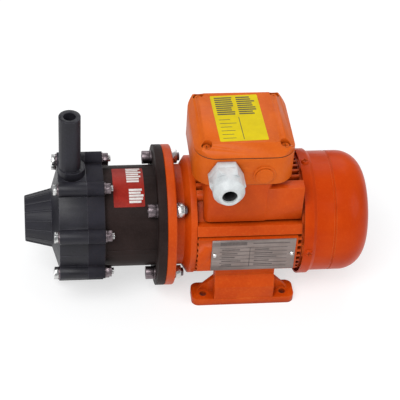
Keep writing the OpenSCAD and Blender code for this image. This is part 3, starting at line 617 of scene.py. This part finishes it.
boxLabel = {
    "width": 46, "length": 70.5, "corner": 1.2, "thickness": 0.15, "slices": 1, "place": (69.5, -0.6, 119.98),
    "turn": 2.0, "inkDepth": 0.1}
boxSticker = newPiece("boxLabel", stickerMesh("boxLabel", boxLabel))
layFlat(boxSticker, boxLabel)
closed(boxSticker, "box_lid", "yellowVinyl")
# blocks of bars on the box label: x and y of the first bar from the label's middle
boxPrint = {
    "boxLabelRowsLeft": {
        "from": (-19.5, 31.5), "Rows": 9, "Row Step": 3.2, "Bar Length": 17.5, "Bar Height": 1.9,
        "Shortest": 0.8, "Seed": 3},
    "boxLabelRowsRight": {
        "from": (1.5, 31.5), "Rows": 9, "Row Step": 3.2, "Bar Length": 17.5, "Bar Height": 1.9,
        "Shortest": 0.7, "Seed": 8},
    "boxLabelLines": {
        "from": (-19.5, -2.5), "Rows": 6, "Row Step": 5.6, "Bar Length": 16, "Bar Height": 0.7,
        "Shortest": 0.3, "Seed": 5},
    "boxLabelDivider": {
        "from": (-0.35, -16.0), "Rows": 1, "Row Step": 1, "Bar Length": 0.7, "Bar Height": 34,
        "Shortest": 1.0, "Seed": 1}}
for name, block in boxPrint.items():
    layFlat(printedBlock(name, block, boxLabel, "box_lid", "darkInk"), boxLabel)

lanternLabel = {
    "width": 30, "length": 50, "corner": 1.2, "thickness": 0.15, "slices": 20, "x": -34.5, "clock": 11.0,
    "radius": 50.0, "inkDepth": 0.3}
lanternSticker = newPiece("lanternLabel", stickerMesh("lanternLabel", lanternLabel))
wrapRound(lanternSticker, lanternLabel)
closed(lanternSticker, "bracket", "redVinyl")
lanternPrint = {
    "lanternLabelRowsFar": {
        "from": (-1.5, 22.6), "Rows": 7, "Row Step": 3.3, "Bar Length": 15.0, "Bar Height": 2.2,
        "Shortest": 0.75, "Seed": 4},
    "lanternLabelRowsNear": {
        "from": (0.0, -7.5), "Rows": 5, "Row Step": 3.1, "Bar Length": 14.0, "Bar Height": 2.3,
        "Shortest": 0.8, "Seed": 9}}
for name, block in lanternPrint.items():
    wrapRound(printedBlock(name, block, lanternLabel, "bracket", "whiteInk"), lanternLabel)

# etched lines of the nameplate: x and z of the first bar on the shaft's axis
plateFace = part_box("nameplate")[0][1]
etchedDepth = 0.12
platePrint = {
    "plateTitle": {
        "from": (52, 12.5), "Rows": 1, "Row Step": 1, "Bar Length": 26, "Bar Height": 4.2,
        "Shortest": 1.0, "Seed": 1},
    "plateHeading": {
        "from": (84, 12.5), "Rows": 1, "Row Step": 1, "Bar Length": 36, "Bar Height": 1.2,
        "Shortest": 1.0, "Seed": 1},
    "plateRules": {
        "from": (52, 7.0), "Rows": 6, "Row Step": 4.9, "Bar Length": 66, "Bar Height": 0.7,
        "Shortest": 1.0, "Seed": 1},
    "plateEntries": {
        "from": (54, 4.5), "Rows": 5, "Row Step": 4.9, "Bar Length": 22, "Bar Height": 1.5,
        "Shortest": 0.4, "Seed": 6},
    "plateValues": {
        "from": (86, 4.5), "Rows": 5, "Row Step": 4.9, "Bar Length": 26, "Bar Height": 1.5,
        "Shortest": 0.4, "Seed": 2},
    "plateColumn": {
        "from": (81, -5.2), "Rows": 1, "Row Step": 1, "Bar Length": 0.7, "Bar Height": 25,
        "Shortest": 1.0, "Seed": 1}}
standing = Matrix(((1, 0, 0, 0), (0, 0, -1, 0), (0, 1, 0, 0), (0, 0, 0, 1)))
for name, block in platePrint.items():
    values = {key: value for key, value in block.items() if key != "from"}
    values.update({"Bar Thickness": etchedDepth, "Place": Vector((0, 0, 0))})
    etched = growPiece(name, barTree, values, "nameplate", "greyInk")
    spot = onAxis(block["from"][0], 0, block["from"][1])
    spot.y = plateFace
    etched.data.transform(Matrix.Translation(spot) @ standing)
print("labels and nameplate ruled")

# places in millimetres from the motor flange on the shaft's axis
cameraSetup = {
    "place": (-129.65, -1094.22, 967.26), "aim": (38.09, 0.0, 17.47), "lean": 4.1, "lens": 132.4, "near": 10}
camera = bpy.data.objects.new("photoCamera", bpy.data.cameras.new("photoCamera"))
scene.collection.objects.link(camera)
camera.data.lens = cameraSetup["lens"]
camera.data.clip_start = cameraSetup["near"] / 1000
eye = onAxis(*cameraSetup["place"])
sight = onAxis(*cameraSetup["aim"]) - eye
camera.matrix_world = (Matrix.Translation(eye) @ sight.to_track_quat("-Z", "Y").to_matrix().to_4x4()
                       @ Matrix.Rotation(math.radians(cameraSetup["lean"]), 4, "Z"))
scene.camera = camera

# reach in metres, fibre in millimetres
floorSetup = {
    "reach": 4.0, "fibre": 60, "dim": "#E4E4E2", "pale": "#E9E9E7", "seenShare": 0.45, "glow": 0.62}
floorMesh = bpy.data.meshes.new("paleFloor")
reach = floorSetup["reach"]
floorMesh.from_pydata([(-reach, -reach, 0), (reach, -reach, 0), (reach, reach, 0), (-reach, reach, 0)], [],
                      [(0, 1, 2, 3)])
floor = newPiece("paleFloor", floorMesh)
# matt paper sweep: white to the camera and in reflections, pale for the light that it throws back
paper = bpy.data.materials.new("matt paper sweep")
paper.use_nodes = True
paperTree = paper.node_tree
paperTree.nodes.clear()
rays = addNode(paperTree, "ShaderNodeLightPath")
seenOrGlossy = addNode(paperTree, "ShaderNodeMath", {
    0: rays.outputs["Is Camera Ray"], 1: rays.outputs["Is Glossy Ray"]}, operation="MAXIMUM")
seen = addNode(paperTree, "ShaderNodeMath", {
    0: seenOrGlossy.outputs[0], 1: rays.outputs["Is Transmission Ray"]}, operation="MAXIMUM")
fibre = addNode(paperTree, "ShaderNodeTexNoise", {
    "Vector": addNode(paperTree, "ShaderNodeTexCoord").outputs["Object"],
    "Scale": 1000 / floorSetup["fibre"], "Detail": 3.0})
tone = addNode(paperTree, "ShaderNodeMix", {
    0: fibre.outputs[0], 6: colour(floorSetup["dim"]),
    7: colour(floorSetup["pale"])}, data_type="RGBA")
matt = addNode(paperTree, "ShaderNodeBsdfDiffuse", {"Color": tone.outputs[2]})
share = floorSetup["seenShare"]
shadowed = addNode(paperTree, "ShaderNodeBsdfDiffuse", {"Color": (share, share, share, 1.0)})
glow = addNode(paperTree, "ShaderNodeEmission", {"Strength": floorSetup["glow"]})
bright = addNode(paperTree, "ShaderNodeAddShader", {0: shadowed.outputs[0], 1: glow.outputs[0]})
both = addNode(paperTree, "ShaderNodeMixShader", {
    0: seen.outputs[0], 1: matt.outputs[0], 2: bright.outputs[0]})
addNode(paperTree, "ShaderNodeOutputMaterial", {"Surface": both.outputs[0]})
floorMesh.materials.append(paper)

# places and sizes in metres, power in watts
lamps = {
    "keyLamp": {"place": (-0.75, -0.95, 1.55), "size": 1.1, "power": 22},
    "fillLamp": {"place": (1.2, -0.7, 0.9), "size": 1.0, "power": 7},
    "rearLamp": {"place": (0.2, 1.3, 1.3), "size": 1.2, "power": 8}}
lampAim = Vector((-0.03, 0, 0.09))
for lampName, setup in lamps.items():
    lamp = bpy.data.objects.new(lampName, bpy.data.lights.new(lampName, "AREA"))
    lamp.data.size = setup["size"]
    lamp.data.energy = setup["power"]
    beam = lampAim - Vector(setup["place"])
    aimed = beam.to_track_quat("-Z", "Y").to_matrix().to_4x4()
    lamp.matrix_world = Matrix.Translation(setup["place"]) @ aimed
    scene.collection.objects.link(lamp)
world = bpy.data.worlds.new("studio")
scene.world = world
world.use_nodes = True
sky = world.node_tree
sky.nodes.clear()
skyRays = addNode(sky, "ShaderNodeLightPath")
skySetup = {"tint": "#F4F6FA", "level": 0.4}
roomLight = addNode(sky, "ShaderNodeBackground", {
    "Color": colour(skySetup["tint"]), "Strength": skySetup["level"]})
whiteWall = addNode(sky, "ShaderNodeBackground", {"Color": (1, 1, 1, 1), "Strength": 1.0})
skyMix = addNode(sky, "ShaderNodeMixShader", {
    0: skyRays.outputs["Is Camera Ray"], 1: roomLight.outputs[0], 2: whiteWall.outputs[0]})
addNode(sky, "ShaderNodeOutputWorld", {"Surface": skyMix.outputs[0]})
print("camera, floor and lamps placed")
